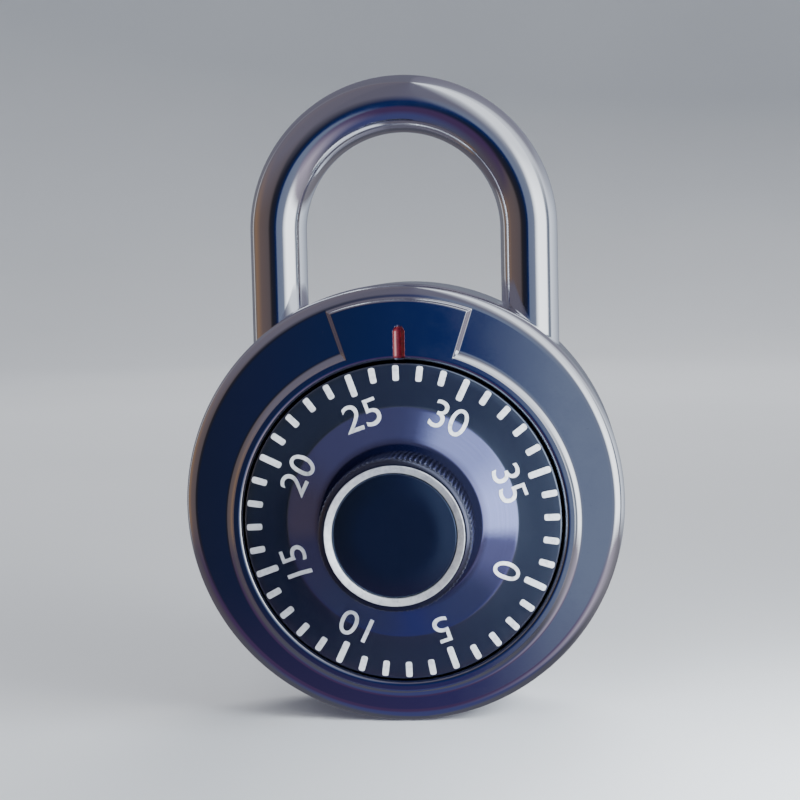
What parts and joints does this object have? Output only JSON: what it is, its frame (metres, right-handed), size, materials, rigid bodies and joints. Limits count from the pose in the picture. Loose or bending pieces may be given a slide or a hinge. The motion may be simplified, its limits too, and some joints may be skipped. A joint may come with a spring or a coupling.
{
  "type": "combination padlock",
  "caption": "Round combination padlock with a chromed case, a numbered black dial with a knurled knob, and a round-rod shackle that lifts.",
  "frame": {"origin": "centre of the case's flat back face", "axes": "+Z along the shackle's legs, away from the case; the dial faces -Y; +X to the right as seen from the front"},
  "size_m": [0.05, 0.028, 0.0739],
  "materials": {
    "case_chrome": "bright chrome plate over drawn sheet metal, which metal is not visible",
    "shackle_chrome": "bright chrome plate over a hardened rod",
    "dial_black": "glossy black with white markings",
    "knob_black": "glossy black, knurled side",
    "knob_bright": "bright trim ring",
    "back_steel": "satin stainless sheet",
    "zinc": "die-cast zinc, as cast",
    "brass": "turned",
    "pin_steel": "turned steel",
    "spring_steel": "spring wire and strip",
    "nylon": "natural nylon washer"
  },
  "bodies": {
    "case": {"case_shell": "case_chrome", "inner_case": "zinc", "back_cover": "back_steel", "shackle_collar": "zinc", "disc_post": "brass", "post_spring": "spring_steel", "rear_spacer": "nylon", "disc_spacer": "nylon", "post_clip": "spring_steel", "latch_pin": "pin_steel", "latch_spring": "spring_steel", "dial_washer": "nylon"},
    "dial": {"dial_plate": "dial_black", "knob_grip": "knob_black", "knob_ring": "knob_bright", "knob_cap": "knob_black", "spindle": "brass", "spindle_clip": "spring_steel", "drive_cam": "zinc"},
    "disc_2": {"disc_2": "zinc"},
    "disc_1": {"disc_1": "zinc"},
    "latch": {"latch": "zinc"},
    "shackle": {"shackle": "shackle_chrome", "shackle_ring": "spring_steel"}
  },
  "joints": [
    {"name": "dial_spin", "type": "hinge", "parent": "case", "child": "dial", "pos_m": [0, -0.0175, -0.0018], "axis": [0, 1, 0], "continuous": true},
    {"name": "disc_2_spin", "type": "hinge", "parent": "case", "child": "disc_2", "pos_m": [0, -0.00935, -0.0018], "axis": [0, 1, 0], "range_deg": [-360, 360]},
    {"name": "disc_1_spin", "type": "hinge", "parent": "case", "child": "disc_1", "pos_m": [0, -0.00705, -0.0018], "axis": [0, 1, 0], "range_deg": [-360, 360]},
    {"name": "shackle_lift", "type": "slide", "parent": "case", "child": "shackle", "axis": [0, 0, 1], "range_m": [0, 0.009]},
    {"name": "latch_pivot", "type": "hinge", "parent": "case", "child": "latch", "pos_m": [-0.0102, -0.009, 0.0072], "axis": [0, 1, 0], "range_deg": [0, 18.5], "deforming": ["latch_spring"]}
  ],
  "couplings": [
    {"joint": "latch_pivot", "follows": "shackle_lift", "rad_per_m": 34.907}
  ]
}
